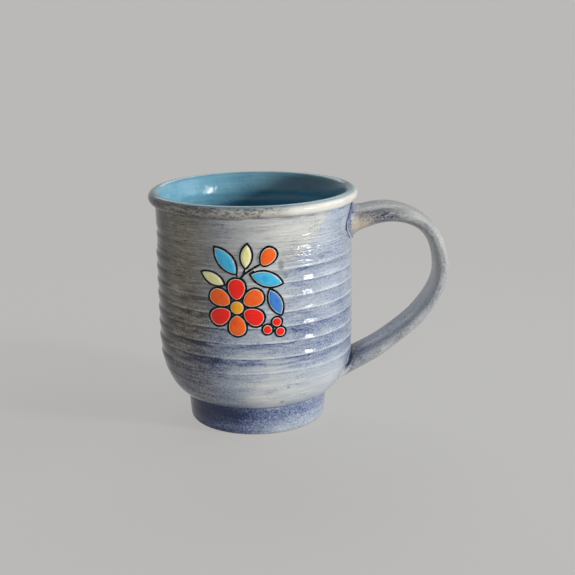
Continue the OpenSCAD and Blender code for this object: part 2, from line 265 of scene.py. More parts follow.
def ring_marks(angle, level):
    """Depth of the finger rings at a level, with where their ledges, scored lines and blue bands lie."""
    depth, ledge, line, band = np.zeros((4, *np.broadcast(angle, level).shape))
    for k, middle in enumerate(RING_Z):
        low, high = middle - LEDGE_LOW, middle + LEDGE_HIGH
        above = RING_Z[k - 1] - LEDGE_LOW if k else SEAT_Z
        inside = (level > low) & (level <= above)
        step = ledge_step(level, low, high)
        climb = np.clip((level - high) / (above - high), 0, 1)
        fall = 1 - climb if k else 1 - climb + TOP_KEPT * climb
        strength = 1 + waver(angle, 0.12, 60 + k, 3)
        depth = depth + np.where(inside, RING_DEPTH * strength * step * fall, 0)
        band = band + np.where(inside, step * climb, 0) * min(0.4 + 0.2 * k, 1)
        scored = np.clip(0.65 + waver(angle, 0.35, 80 + k, 6), 0.1, 1.2)
        depth = depth + 0.08 * bell(level - low + 0.3, 0.26) * scored
        line = np.maximum(line, bell(level - low + 0.32, 0.27) * scored)
        wiped = np.clip(0.8 + waver(angle, 0.22, 90 + k), 0.2, 1.1)
        ledge = np.maximum(ledge, bell(level - low - 0.3, 0.42) * wiped)
    for k, (middle, size, tall) in enumerate(SMALL_LEDGES):
        offset = level - middle - waver(angle, 0.3, 110 + k)
        size = size * np.clip(0.85 + waver(angle, 0.3, 130 + k), 0.2, 1.3)
        step = ledge_step(offset, -tall / 2, tall / 2)
        depth = depth + size * step * np.clip(1 - (offset - tall / 2) / SMALL_FALL, 0, 1)
        scored = np.clip(0.5 + waver(angle, 0.5, 150 + k), 0, 1)
        line = np.maximum(line, 0.5 * bell(offset + 0.7, 0.3) * scored)
    return depth, ledge, line, band


def thrown_r(angle, z, level):
    """Radius of the thrown wall, a little uneven above the foot and never past its true size."""
    swell = waver(angle, SWELL, 5, 3) - SWELL_ROOM
    return plain_r(z) - ring_marks(angle, level)[0] + swell * rise(z, FOOT_H, FOOT_H + SWELL_START_H)


def wall_r_at(angle, z):
    """Radius of the finished wall at any place, with its rings where they have wandered to."""
    return thrown_r(angle, z, z - ring_shift(angle, z))


# Inside of the mug

def inside_skin(depth, steps=(10, 22, 40, 26, 12)):
    """Outline of the inside at a depth below the finished glaze, from the lip's crest to the middle."""
    roll_r = LIP_ROLL_R - depth
    arc = np.radians(np.linspace(GLAZE_EDGE, LIP_TURN, steps[0] + 1))
    points = [(LIP_MID_R + roll_r * math.cos(a), LIP_MID_Z + roll_r * math.sin(a)) for a in arc]
    turn_r, turn_z = points[-1]
    straight_r = GLAZED_IN_R + depth
    flare_h = (turn_z - FLARE_Z) / math.sin(FLARE_END)
    reach = (turn_r - straight_r) / (1 - math.cos(FLARE_END))
    for i in range(1, steps[1] + 1):
        z = turn_z + (FLARE_Z - turn_z) * i / steps[1]
        points.append((straight_r + reach * (1 - math.cos(math.asin((z - FLARE_Z) / flare_h))), z))
    top_z = FLOOR_Z + CORNER_H
    bottom_z = FLOOR_Z + LINER_T - depth
    points += [(straight_r, FLARE_Z + (top_z - FLARE_Z) * i / steps[2]) for i in range(1, steps[2])]
    for i in range(steps[3] + 1):
        a = math.pi / 2 * i / steps[3]
        z = top_z - (top_z - bottom_z) * math.sin(a)
        points.append((straight_r - CORNER_REACH * (1 - math.cos(a)), z))
    flat_r = straight_r - CORNER_REACH
    points += [(flat_r * (1 - i / (steps[4] + 0.3)), bottom_z) for i in range(1, steps[4] + 1)]
    return np.array(points)


# Materials

class Nodes:
    """Short way to write a node tree."""

    def __init__(self, tree):
        self.tree = tree

    def node(self, kind, **values):
        node = self.tree.nodes.new("ShaderNode" + kind)
        for key, value in values.items():
            setattr(node, key, value)
        return node

    def wire(self, socket, value):
        if isinstance(value, bpy.types.NodeSocket):
            self.tree.links.new(value, socket)
        elif isinstance(value, (tuple, list)) and len(value) == 3 and socket.type == "RGBA":
            socket.default_value = (*value, 1)
        else:
            socket.default_value = value

    def math(self, operation, a, b=0.0, c=0.0, clamp=False):
        node = self.node("Math", operation=operation, use_clamp=clamp)
        for socket, value in zip(node.inputs, (a, b, c)):
            self.wire(socket, value)
        return node.outputs["Value"]

    def spread(self, value, low, high, to_low=0.0, to_high=1.0):
        node = self.node("MapRange", interpolation_type="SMOOTHSTEP")
        for key, number in (("From Min", low), ("From Max", high), ("To Min", to_low), ("To Max", to_high)):
            node.inputs[key].default_value = number
        self.wire(node.inputs["Value"], value)
        return node.outputs["Result"]

    def mix(self, share, a, b):
        node = self.node("Mix", data_type="RGBA")
        for key, value in (("Factor", share), ("A", a), ("B", b)):
            self.wire(node.inputs[key], value)
        return node.outputs["Result"]

    def is_seen(self):
        """Is 1 for what the camera sees, straight or in a reflection, and 0 for light on the object."""
        path = self.node("LightPath").outputs
        mirrored = self.math("MAXIMUM", path["Is Glossy Ray"], path["Is Transmission Ray"])
        return self.math("MAXIMUM", path["Is Camera Ray"], mirrored)


class Glaze(Nodes):
    """Node material of a glazed surface. Where a value is a name, it is the mesh's attribute of that name."""

    def __init__(self, name, ior=1.5):
        self.material = bpy.data.materials.new(name)
        self.material.use_nodes = True
        super().__init__(self.material.node_tree)
        self.shader = self.tree.nodes["Principled BSDF"]
        self.shader.inputs["IOR"].default_value = ior

    def attribute(self, name, output="Fac"):
        return self.node("Attribute", attribute_name=name).outputs[output]

    def noise(self, per_mm, detail=3, rough=0.55, warp=0, shift=(0, 0, 0)):
        """Noise with a number of cells per millimetre along each way of the flow."""
        place = self.node("Mapping")
        place.inputs["Scale"].default_value = per_mm
        place.inputs["Location"].default_value = shift
        self.wire(place.inputs["Vector"], self.attribute("flow", "Vector"))
        node = self.node("TexNoise")
        for key, value in (("Scale", 1), ("Detail", detail), ("Roughness", rough), ("Distortion", warp)):
            node.inputs[key].default_value = value
        self.wire(node.inputs["Vector"], place.outputs["Vector"])
        return node.outputs["Fac"]

    def spots(self, low, high, *noise):
        """Is 1 where the noise is above the high value, and 0 where it is below the low one."""
        return self.spread(self.noise(*noise), low, high)

    def times(self, *shares):
        values = [self.attribute(share) if isinstance(share, str) else share for share in shares]
        total = values[0]
        for value in values[1:]:
            total = self.math("MULTIPLY", total, value)
        return total

    def add(self, total, amount, *shares, clamp=False):
        """Total with an amount added, times every share."""
        return self.math("MULTIPLY_ADD", self.times(*shares), amount, total, clamp=clamp)

    def ramp(self, value, stops):
        node = self.node("ValToRGB")
        points = node.color_ramp.elements
        while len(points) < len(stops):
            points.new(0.5)
        for point, (place, color) in zip(points, stops):
            point.position = place
            point.color = (*linear(color), 1)
        self.wire(node.inputs["Fac"], value)
        return node.outputs["Color"]

    def tint(self, color, other, *shares):
        """Colour turned to another one, as far as the shares say."""
        return self.mix(self.times(*shares), color, linear(other))

    def bump(self, height, distance, under=None):
        node = self.node("Bump")
        node.inputs["Strength"].default_value = 1
        node.inputs["Distance"].default_value = distance * MM
        self.wire(node.inputs["Height"], height)
        if under is not None:
            self.wire(node.inputs["Normal"], under)
        return node.outputs["Normal"]

    def grained(self, grain, low, high):
        """Roughness that goes from low to high with the grain."""
        return self.spread(grain, 0.3, 0.7, low, high)

    def finish(self, color, roughness, normal):
        self.wire(self.shader.inputs["Base Color"], color)
        self.wire(self.shader.inputs["Roughness"], roughness)
        self.wire(self.shader.inputs["Normal"], normal)
        return self.material


def linear(color):
    """Turns a colour of 0 to 255 a channel, as a screen shows it, into light."""
    share = [channel / 255 for channel in color]
    return tuple(s / 12.92 if s <= 0.04045 else ((s + 0.055) / 1.055) ** 2.4 for s in share)


# Ramps of the wash from little cobalt to much. Besides the glaze's tones, the cool one also stands for
# painted blue skylight, and the warm one's dark browns for painted shade on the left.
COOL_WASH = [(0.0, (226, 226, 222)), (0.22, (202, 208, 213)), (0.45, (164, 175, 192)),
             (0.66, (118, 132, 164)), (0.84, (74, 90, 132)), (1.0, (30, 42, 78))]
WARM_WASH = [(0.0, (232, 230, 222)), (0.22, (207, 205, 197)), (0.45, (165, 163, 154)),
             (0.66, (120, 114, 102)), (0.84, (76, 71, 62)), (1.0, (32, 34, 42))]
BARE_CLAY = (206, 188, 160)


def washed(glaze, streak_size, patch_size, speckle_size, patchy=1.0, grainy=1.0):
    """Amount of cobalt left on the glaze: the wash, wiped in streaks and patches and broken by speckle. The
    base value read from the mesh also carries painted shade and painted highlights.
    """
    fine = glaze.noise((0.085, 0.085, 2.0), 5, 0.7, 0.3)
    patch = glaze.noise((0.07, 0.07, 0.4), 5, 0.62, 0.5, (7, 3, 11))
    speckle = glaze.noise((1.15, 1.15, 1.4), 4, 0.85)
    streaks, patches, grains = (glaze.math("SUBTRACT", noise, 0.5) for noise in (fine, patch, speckle))
    total = glaze.add(glaze.attribute("wash"), streak_size, streaks)
    total = glaze.add(total, patch_size, patches, patchy)
    total = glaze.add(total, speckle_size, grains, glaze.spread(total, 0.25, 0.6, 0.3, 1.5), grainy)
    return total, fine, patch, speckle


def wash_color(glaze, total):
    """Warm cream where little of the sky's blue reaches the glaze, cool where more cobalt ran. The split is
    partly the glaze and partly painted light: painted blue skylight on the cool side and painted warm shade
    on the left.
    """
    return glaze.mix(glaze.attribute("cool"), glaze.ramp(total, WARM_WASH), glaze.ramp(total, COOL_WASH))


def gloss_bump(glaze, streaks, speckle, streak_depth=0.012, grain_depth=0.004, fold_depth=0.06):
    """Soft folds of a thick glaze, with the streaks and the speckle on them."""
    soft = glaze.bump(glaze.noise((0.22, 0.22, 0.3), 2, 0.5, 0, (3, 9, 1)), 0.07)
    folded = glaze.bump(glaze.noise((0.75, 0.75, 0.3), 2, 0.6, 0, (8, 1, 5)), fold_depth, soft)
    return glaze.bump(speckle, grain_depth, glaze.bump(streaks, streak_depth, folded))


def comb_teeth(glaze, wander):
    """Height of fine level grooves, each of which climbs evenly and drops back."""
    flow = glaze.node("SeparateXYZ")
    glaze.wire(flow.inputs["Vector"], glaze.attribute("flow", "Vector"))
    level = glaze.add(glaze.times(flow.outputs["Z"], 0.78), 2.0, wander)
    return glaze.math("SUBTRACT", 1.0, glaze.math("FRACT", level))


def wall_material():
    glaze = Glaze("wall_glaze")
    total, fine, patch, speckle = washed(glaze, 0.45, 0.8, 1.0, "patchy", "grainy")
    total = glaze.add(total, 1, "band", glaze.spread(patch, 0.38, 0.62, 0.05, 0.22))
    dry = glaze.spots(0.53, 0.63, (0.16, 0.16, 2.4), 5, 0.8, 0.5, (2, 8, 4))
    total = glaze.add(total, 0.36, dry, "brush")
    fleck = glaze.spots(0.55, 0.62, (0.8, 0.8, 1.7), 4, 0.65, 1.5, (6, 2, 9))
    clusters = glaze.spots(0.52, 0.62, (0.06, 0.06, 0.11), 3, 0.5, 0, (5, 9, 2))
    total = glaze.add(total, 0.3, fleck, clusters)
    broken = glaze.noise((0.11, 0.11, 1.1), 4, 0.7, 0.5, (9, 6, 5))
    total = glaze.add(total, -1, "ledge", glaze.spread(broken, 0.34, 0.6, 0.08, 0.26))
    total = glaze.add(total, 1, "line", glaze.spread(broken, 0.42, 0.62, 0.26, 0.03))
    wander = glaze.noise((0.14, 0.14, 0.28), 3, 0.6, 0.4, (4, 7, 2))
    tooth = comb_teeth(glaze, wander)
    total = glaze.add(total, 0.16, glaze.spread(tooth, 0.75, 1.0), "combed", clamp=True)
    speck = glaze.spots(0.765, 0.8, (0.2, 0.2, 0.26), 2, 0.4, 0, (13, 1, 6))
    color = glaze.tint(wash_color(glaze, total), (84, 88, 100), speck, 0.35)
    # On the wall this value holds only the finger smudges.
    color = glaze.tint(color, (112, 122, 130), "smudge_and_shade", glaze.spread(speckle, 0.35, 0.6, 0.6, 0.95))
    ruffle = glaze.times(glaze.noise((0.5, 0.5, 0.6), 2, 0.5, 0.3, (11, 4, 3)), "ruffled")
    normal = glaze.bump(ruffle, 0.7, gloss_bump(glaze, fine, speckle, fold_depth=0.08))
    comb_depth = glaze.times("combed", glaze.spread(wander, 0.3, 0.7, 0.85, 1.15))
    normal = glaze.bump(glaze.times(tooth, comb_depth), 0.4, normal)
    return glaze.finish(color, glaze.grained(speckle, 0.05, 0.1), normal)


def foot_material():
    glaze = Glaze("foot_glaze")
    total, fine, _, speckle = washed(glaze, 0.35, 0.4, 1.15)
    clay = glaze.mix(glaze.noise((0.6, 0.6, 0.6), 4), linear((176, 160, 138)), linear((204, 190, 168)))
    color = glaze.mix(glaze.attribute("bare"), glaze.ramp(total, COOL_WASH), clay)
    roughness = glaze.add(glaze.grained(speckle, 0.12, 0.24), 0.55, "bare")
    return glaze.finish(color, roughness, gloss_bump(glaze, fine, speckle))


def lip_material():
    glaze = Glaze("lip_glaze")
    total, fine, _, speckle = washed(glaze, 0.5, 0.6, 0.9)
    # Dark mottling spread by the smudge value, mostly over the shaded left: partly smudges and partly painted
    # shade.
    smudge_and_shade = glaze.spots(0.5, 0.62, (0.3, 0.3, 0.9), 5, 0.75, 0.8, (5, 5, 2))
    total = glaze.add(total, 0.34, smudge_and_shade, "smudge_and_shade", clamp=True)
    color = glaze.tint(wash_color(glaze, total), (118, 162, 178), "thin")
    scribble = glaze.spots(0.5, 0.58, (0.2, 0.2, 1.3), 4, 0.75, 0.8, (1, 2, 3))
    color = glaze.tint(color, (52, 62, 92), scribble, "line")
    return glaze.finish(color, glaze.grained(speckle, 0.1, 0.18), gloss_bump(glaze, fine, speckle, 0.01))


def liner_material():
    glaze = Glaze("liner_glaze")
    cloud = glaze.noise((0.05, 0.05, 0.09), 4, 0.55, 0.3)
    fine = glaze.noise((0.05, 0.05, 1.0), 3, 0.5)
    speckle = glaze.noise((1.2, 1.2, 1.2), 2)
    mixed = glaze.add(glaze.times(cloud, 0.7), 0.3, fine)
    color = glaze.ramp(mixed, [(0.3, (90, 152, 180)), (0.5, (116, 178, 204)), (0.72, (144, 194, 214))])
    # Darker teal low inside: partly pooled glaze and partly painted shade.
    color = glaze.tint(color, (60, 110, 128), "pool_and_shade")
    color = glaze.tint(color, (132, 168, 178), "thin")
    normal = gloss_bump(glaze, fine, speckle, 0.008, 0.002, 0.12)
    return glaze.finish(color, glaze.grained(speckle, 0.05, 0.1), normal)


def handle_material():
    glaze = Glaze("handle_glaze")
    total, fine, _, speckle = washed(glaze, 0.45, 0.5, 1.3)
    mottle = glaze.spots(0.46, 0.54, (0.9, 1.2, 1.2), 5, 0.85, 0.4, (4, 4, 4))
    total = glaze.add(total, 0.5, mottle, "score")
    # Paler where the pale value is, on the upper limb: a painted highlight.
    total = glaze.add(total, -0.32, "pale", glaze.spread(speckle, 0.42, 0.58))
    total = glaze.add(total, 0.5, "line", clamp=True)
    color = glaze.tint(wash_color(glaze, total), BARE_CLAY, "bare")
    normal = gloss_bump(glaze, fine, speckle, 0.02, 0.016)
    return glaze.finish(color, glaze.grained(speckle, 0.24, 0.4), normal)


def slip_material():
    glaze = Glaze("joint_slip")
    total, _, _, speckle = washed(glaze, 0.4, 0.5, 0.9)
    scratch = glaze.spots(0.5, 0.56, (0.6, 0.55, 0.7), 5, 0.75, 2.0, (1, 4, 9))
    total = glaze.add(total, 0.55, scratch, "score")
    total = glaze.add(total, 0.6, "line", clamp=True)
    scribble = glaze.spread(glaze.noise((0.5, 0.5, 0.6), 5, 0.8, 1.5, (7, 2, 3)), 0.4, 0.55, 0.3, 1.0)
    color = glaze.tint(wash_color(glaze, total), (74, 86, 146), "run", scribble)
    color = glaze.tint(color, (222, 226, 242), "seam")
    color = glaze.tint(color, BARE_CLAY, "bare")
    normal = gloss_bump(glaze, scratch, speckle, 0.05, 0.02)
    return glaze.finish(color, glaze.grained(speckle, 0.16, 0.3), normal)


def enamel_material(name, deep, middle, pale):
    """Raised enamel: deepest where it is thick, paler where it thins out towards the line."""
    glaze = Glaze(name)
    cloud = glaze.noise((0.35, 0.35, 0.35), 3, 0.5, 0.4)
    grain = glaze.noise((2.5, 2.5, 2.5), 2)
    thinning = glaze.math("POWER", glaze.attribute("edge"), 4.0)
    shade = glaze.add(glaze.spread(cloud, 0.3, 0.7, 0.1, 0.5), 0.55, thinning, clamp=True)
    color = glaze.ramp(shade, [(0.0, deep), (0.4, middle), (0.92, middle), (1.0, pale)])
    color = glaze.tint(color, (236, 232, 214), "halo")
    normal = glaze.bump(grain, 0.006, glaze.bump(cloud, 0.06))
    return glaze.finish(color, glaze.grained(grain, 0.06, 0.13), normal)


def line_material():
    glaze = Glaze("line_black", ior=1.3)
    cloud = glaze.noise((0.5, 0.5, 0.5), 3, 0.6)
    grain = glaze.noise((2.2, 2.2, 2.2), 3)
    color = glaze.ramp(cloud, [(0.25, (6, 9, 14)), (0.6, (12, 18, 28)), (0.85, (26, 40, 60))])
    return glaze.finish(color, glaze.grained(grain, 0.16, 0.32), glaze.bump(grain, 0.02))


# Pieces of the body

ROUND = circle(400)[None, :]


def clay_piece(obj, node):
    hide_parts(node)
    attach(obj, "root")


def wall_levels():
    """Heights of the wall's rows, close together where a ledge or a scored line is."""
    near = [-1.5, -1.25, -1.05, -0.9, -0.78, -0.68, -0.6, -0.52, -0.4,
            -0.25, -0.05, 0.2, 0.45, 0.7, 0.95, 1.15, 1.28, 1.4]
    plain = np.arange(FOOT_H + 0.4, SEAT_Z - 0.2, 0.3)
    plain = [z for z in plain if min(abs(z - level + 0.05) for level in RING_Z) > 1.55]
    return np.array(sorted([FOOT_H, SEAT_Z] + plain + [level + z for level in RING_Z for z in near]))


def cool_share(angle, z):
    """Where the wash is cool and bluish: below a slanting edge that is highest by the handle. The cool share
    is partly the glaze's own tone and partly painted blue skylight.
    """
    turn_share = np.cos(angle + math.radians(8))
    edge_z = 60.8 + 36 * turn_share + 50 * np.maximum(turn_share - 0.68, 0) + waver(angle, 0.6, 23)
    softness = 2.5 + 16 * smooth_step(0.75 - turn_share)
    place = degrees_of(angle)
    least = 0.08 + 0.42 * rise(place, 226, 248) * rise(place, 322, 300)
    return least + (1 - least) * smooth_step((edge_z - z) / softness + 0.5)


def shaded_side(angle, starts, full, ends=150):
    """Is 1 on the mug's left side. It starts and is full at these places, in degrees from the handle."""
    place = degrees_of(angle)
    return rise(place, starts, full) * rise(place, ends, ends + 45)


def wall_wash_and_painted_light(angle, z, cool):
    """Base amount of cobalt, with painted light: more cobalt low down and by the foot, less low on the belly
    towards the front right, and more where it is cool on the right, which is partly the glaze and partly
    painted blue skylight. The darkening on the left is painted shade, and the paler patch high on the front
    right is a painted highlight.
    """
    place = degrees_of(angle)
    facing = np.cos(angle + math.radians(62))
    low_down = 0.09 * rise(z, 68, 46)
    # Darker on the left side, and darker still at the far left: painted shade.
    left = 0.3 * shaded_side(angle, 276, 228)
    far_left = 0.36 * rise(place, 218, 200) * rise(place, 150, 170)
    # More cobalt where it is cool on the right: partly the glaze and partly painted blue skylight.
    right = (0.1 + 0.03 * rise(z, 66, 76)) * cool * rise(np.cos(angle), 0.15, 0.5)
    belly = -0.25 * bell(z - 22, 9) * rise(facing, 0.68, 0.94)
    # Paler high on the front right: a painted highlight, a broad sheen.
    sheen = -0.16 * bell(z - 89, 8) * rise(facing, 0.9, 1)
    by_foot = 0.5 * smooth_step((FOOT_H + 2.2 - z + waver(angle, 0.4, 21)) / 2.4)
    return 0.31 + low_down + left + far_left + right + belly + sheen + by_foot


def smudge_marks(angle, z):
    """Faint grey blots left on the glaze by wet fingers, darkest along their outlines."""
    total = np.zeros(np.broadcast(angle, z).shape)
    for place, height, half_w, half_h in SMUDGES:
        across = (angle - math.radians(place)) * WALL_R / half_w
        distance = np.hypot(across, (z - height) / half_h)
        total = total + 0.75 * bell(distance, 0.9) + 0.6 * bell(distance - 0.9, 0.3)
    return np.minimum(total, 1)


def combed_share(angle, z):
    """Is 1 where the wet wall was combed into fine grooves, high up towards the handle."""
    place = degrees_of(angle)
    return rise(z, 75.5, 78.5) * rise(z, 90, 86) * rise(place, 284, 290) * rise(place, 345, 325)


def ruffled_share(angle, z):
    """Is 1 where the combed grooves are uneven, on their side towards the handle."""
    return rise(degrees_of(angle), 307, 311) * rise(z, 74, 78) * rise(z, 86, 82)


def wall_looks(angle, z, level):
    """What the wall's material reads, over the outside."""
    _, ledge, line, band = ring_marks(angle, level)
    # Warmer on the shaded left: painted shade.
    cool = cool_share(angle, z) * (1 - 0.6 * shaded_side(angle, 256, 230))
    cool_edge = rise(cool, 0.55, 0.95)
    ringed = 0.3 + 0.7 * np.maximum(cool, rise(z, 68, 56))
    patchy = 1 - 0.65 * rise(np.cos(angle), 0.4, 0.65)
    band = smooth_step(band * 2.2 - 0.35) * rise(z, 84, 76) * ringed * (0.4 + 0.6 * patchy)
    patchy = patchy * (1 - 0.45 * rise(z, 62, 72) * (1 - cool_edge))
    line = np.maximum(line * ringed * (0.45 + 0.55 * patchy), rise(z, SEAT_Z - 1.6, SEAT_Z))
    brush = (0.25 + 0.75 * rise(z, 60, 74) * rise(z, 98, 92)) * (1.1 - cool)
    grainy = 0.3 + 0.7 * np.maximum(cool_edge, rise(z, 64, 54))
    return {"wash": wall_wash_and_painted_light(angle, z, cool), "cool": cool, "ledge": ledge * ringed, "band": band,
            "line": line, "brush": brush, "patchy": patchy, "grainy": grainy,
            "smudge_and_shade": smudge_marks(angle, z), "combed": combed_share(angle, z),
            "ruffled": ruffled_share(angle, z)}


UNDER_LOOKS = {"wash": 0.4, "cool": 0.5, "patchy": 1, "grainy": 1}


def wall_piece():
    level = wall_levels()[:, None]
    z = level + ring_shift(ROUND, level)
    outside = turn(thrown_r(ROUND, z, level), z, ROUND)
    outside_flow = np.stack(np.broadcast_arrays(outside[..., 0], outside[..., 1], level), axis=-1)

    hidden = inside_skin(LINER_T)
    hidden = hidden[(hidden[:, 1] < SEAT_Z) & (hidden[:, 0] > 0.5)]
    inside = turn(hidden[:, 0, None], hidden[:, 1, None], ROUND)

    rim_r, rim_h = FOOT_R - FOOT_T, FOOT_H - RECESS_Z
    under_r = np.array([1, 4, 8, 12, 16, 19, 21.5, 23, 23.9, rim_r, rim_r, rim_r + 2])[:, None]
    under_z = RECESS_Z + np.array([0, 0, 0, 0, 0, 0, 0, 0.05, 0.25, 0.9, rim_h, rim_h])[:, None]
    under = turn(under_r, under_z - 0.08 * np.cos(under_r * 1.7 + ROUND), ROUND)
    under[-2:, :, 2] = FOOT_H

    attributes = {}
    for key, values in wall_looks(ROUND, z, level).items():
        below = np.full(under.shape[:2], UNDER_LOOKS.get(key, 0))
        shown = np.broadcast_to(values, z.shape)
        attributes[key] = np.concatenate([below, shown, np.zeros(inside.shape[:2])])
    rows, flow = (np.concatenate([under, middle, inside]) for middle in (outside, outside_flow))
    obj = loft("thrown_wall", rows, wall_material(), attributes, flow)
    clay_piece(obj, "mug_wall")


def foot_piece():
    inner_r = FOOT_R - FOOT_T
    edge_r = FOOT_R - FOOT_TAPER - FOOT_EDGE_R
    arc = np.radians(np.linspace(-90, 0, 9))
    side = np.linspace(FOOT_EDGE_R, FOOT_H, 30)[1:]
    side_r = FOOT_R - FOOT_TAPER * (FOOT_H - side) / (FOOT_H - FOOT_EDGE_R)
    inner = np.linspace(FOOT_H, 0.5, 12)[1:]
    radius = np.concatenate([inner_r + np.array([0.5, 1.5, 3]), edge_r + FOOT_EDGE_R * np.cos(arc), side_r,
                             [inner_r + 2, inner_r], np.full(len(inner), inner_r)])[:, None]
    height = np.concatenate([np.zeros(3), FOOT_EDGE_R + FOOT_EDGE_R * np.sin(arc), side, [FOOT_H, FOOT_H],
                             inner])[:, None]
    on_side = (rise(radius, FOOT_R - 2.6, FOOT_R - 1.4) * rise(height, 0, 1.5)
               * rise(height, FOOT_H, FOOT_H - 1.5))
    marks = (0.05 * np.sin(height * 4.2 + 0.8 * np.sin(ROUND)) + waver(ROUND, 0.05, 11)
             - 0.1 * bell(height - 8.2 - waver(ROUND, 0.2, 12), 0.35))
    rows = turn(radius + on_side * marks, height, ROUND)
    # Darker on the left side: painted shade.
    wash = (0.61 + 0.38 * shaded_side(ROUND, 286, 242) + 0.16 * bell(height - 9.5, 3)
            - 0.08 * bell(height - 3, 2.5) + waver(ROUND, 0.05, 13))
    worn = smooth_step((0.75 - height + waver(ROUND, 0.12, 14)) / 0.25)
    bare = np.where(radius > inner_r + 2.5, worn, 1.0) * (height < FOOT_H - 1)
    looks = {"wash": wash, "bare": bare}
    obj = loft("foot_ring_glazed", rows, foot_material(), looks, poles=False, closed=True)
    clay_piece(obj, "foot_ring")


def lip_waver(angle):
    """Unevenness of the mouth, outwards and upwards. It stays within the mouth's true size."""
    out, up = waver(angle, 0.06, 31, 4), waver(angle, 0.05, 32, 4)
    return out - out.max(), up - up.max() - 0.02


def lip_piece():
    turned_out = np.linspace(-90, GLAZE_EDGE, 34)[:, None]
    sine, cosine = np.sin(np.radians(turned_out)), np.cos(np.radians(turned_out))
    out, up = lip_waver(ROUND)
    roll = LIP_ROLL_R + 0.07 * waver(ROUND * 3, 0.5, 33) * cosine
    settle = waver(ROUND, 0.16, 34, 7) * smooth_step(-sine)
    skin = turn(LIP_MID_R + out + roll * cosine - 0.06, LIP_MID_Z + up + roll * sine + settle, ROUND)
    core = inside_skin(LINER_T + 0.05)
    core = core[core[:, 1] > SEAT_Z]
    inside = turn(core[:, 0, None] + out, core[:, 1, None] + up, ROUND)
    tilt = np.concatenate([turned_out, np.full((len(core), 1), GLAZE_EDGE)])
    back = smooth_step(np.sin(ROUND - math.radians(20)) * 1.5 + 0.4)
    left = shaded_side(ROUND, 293, 284, 60)
    # Darker on the left side, more so towards the far left: painted shade.
    wash = (0.1 + 0.26 * left + 0.3 * shaded_side(ROUND, 266, 224) + 0.3 * shaded_side(ROUND, 222, 200)
            + 0.06 * rise(tilt, -10, -70) + 0.45 * rise(tilt, -68, -88) + waver(ROUND, 0.06, 35))
    crown = 0.8 * bell(tilt - 40, 20) * left * rise(np.cos(ROUND + 1.4), 0.3, 0.8)
    # The smudge value is low on the lit right and full on the shaded left, so its dark mottling there is
    # painted shade.
    attributes = {"wash": wash, "cool": 0.15, "thin": 0.8 * smooth_step((tilt - 26 + 28 * back) / 38),
                  "line": crown, "smudge_and_shade": 0.15 + 0.85 * shaded_side(ROUND, 292, 270, 60)}
    rows = np.concatenate([skin, inside])
    obj = loft("lip_bead", rows, lip_material(), attributes, poles=False, closed=True)
    clay_piece(obj, "rolled_lip")


def liner_piece():
    out, up = lip_waver(ROUND)
    skin, back = inside_skin(0), inside_skin(LINER_T - 0.06)[::-1]
    radius, height = skin[:, 0, None], skin[:, 1, None]
    near_lip = rise(height, FLARE_Z, LIP_MID_Z)
    on_wall = rise(radius, 24, 32) * rise(height, 96, 90)
    rings = 0.13 * np.cos(height * 1.05 + ROUND + waver(ROUND, 0.6, 51)) * on_wall
    spiral = 0.16 * rise(radius, 24, 16) * np.cos(radius * 1.25 - ROUND)
    shown = turn(radius + near_lip * out - rings, height + near_lip * up + spiral, ROUND)
    radius, height = back[:, 0, None], back[:, 1, None]
    near_lip = rise(height, FLARE_Z, LIP_MID_Z)
    hidden = turn(radius + near_lip * out, height + near_lip * up, ROUND)
    rows = np.concatenate([shown[::-1], hidden[::-1]])
    from_crest = np.concatenate([np.arange(len(skin))[::-1], np.arange(len(back))])[:, None]
    # Darker teal towards the bottom of the inside: partly pooled glaze and partly painted shade.
    attributes = {"thin": rise(from_crest, 9, 0), "pool_and_shade": 0.75 * rise(rows[..., 2], 40, 14)}
    obj = loft("liner", rows, liner_material(), attributes, flip=True)
    clay_piece(obj, "inner_glaze")


# Handle

def further(x, z, slope, length):
    """Point that lies a length further on, up a slope."""
    return x + length * math.cos(slope), z + length * math.sin(slope)


UPPER_CURVE = np.array([(ROOT_X, UPPER_ROOT_Z), further(ROOT_X, UPPER_ROOT_Z, UPPER_SLOPE, UPPER_PULL),
                        (BEND_X, BEND_Z + BEND_UP), (BEND_X, BEND_Z)])
LOWER_CURVE = np.array([(BEND_X, BEND_Z), (BEND_X, BEND_Z - BEND_DOWN),
                        further(ROOT_X, LOWER_ROOT_Z, LOWER_SLOPE, LOWER_PULL), (ROOT_X, LOWER_ROOT_Z)])


def curve_at(curve, t):
    """Place and slope of a curve between four points, where t goes from 0 to 1."""
    t = np.asarray(t, float)[..., None]
    place = ((1 - t) ** 3 * curve[0] + 3 * t * (1 - t) ** 2 * curve[1]
             + 3 * t * t * (1 - t) * curve[2] + t ** 3 * curve[3])
    legs = np.diff(curve, axis=0)
    return place, (1 - t) ** 2 * legs[0] + 2 * t * (1 - t) * legs[1] + t * t * legs[2]


def strap_at(s):
    """Middle line of the strap and its direction: s is 0 at the upper root, 1 at the bend and 2 below."""
    s = np.asarray(s, float)
    upper, lower = curve_at(UPPER_CURVE, np.clip(s, 0, 1)), curve_at(LOWER_CURVE, np.clip(s - 1, 0, 1))
    first = (s < 1)[..., None]
    place = np.where(first, upper[0], lower[0])
    slope = np.where(first, upper[1], lower[1])
    return place, slope / np.linalg.norm(slope, axis=-1, keepdims=True)


def taper(s, share):
    return np.cos(math.pi / 2 * np.minimum(1, s / share)) ** 2


def strap_size(s, middle, upper, lower):
    return middle + (upper - middle) * taper(s, UPPER_TAPER) + (lower - middle) * taper(2 - s, LOWER_TAPER)


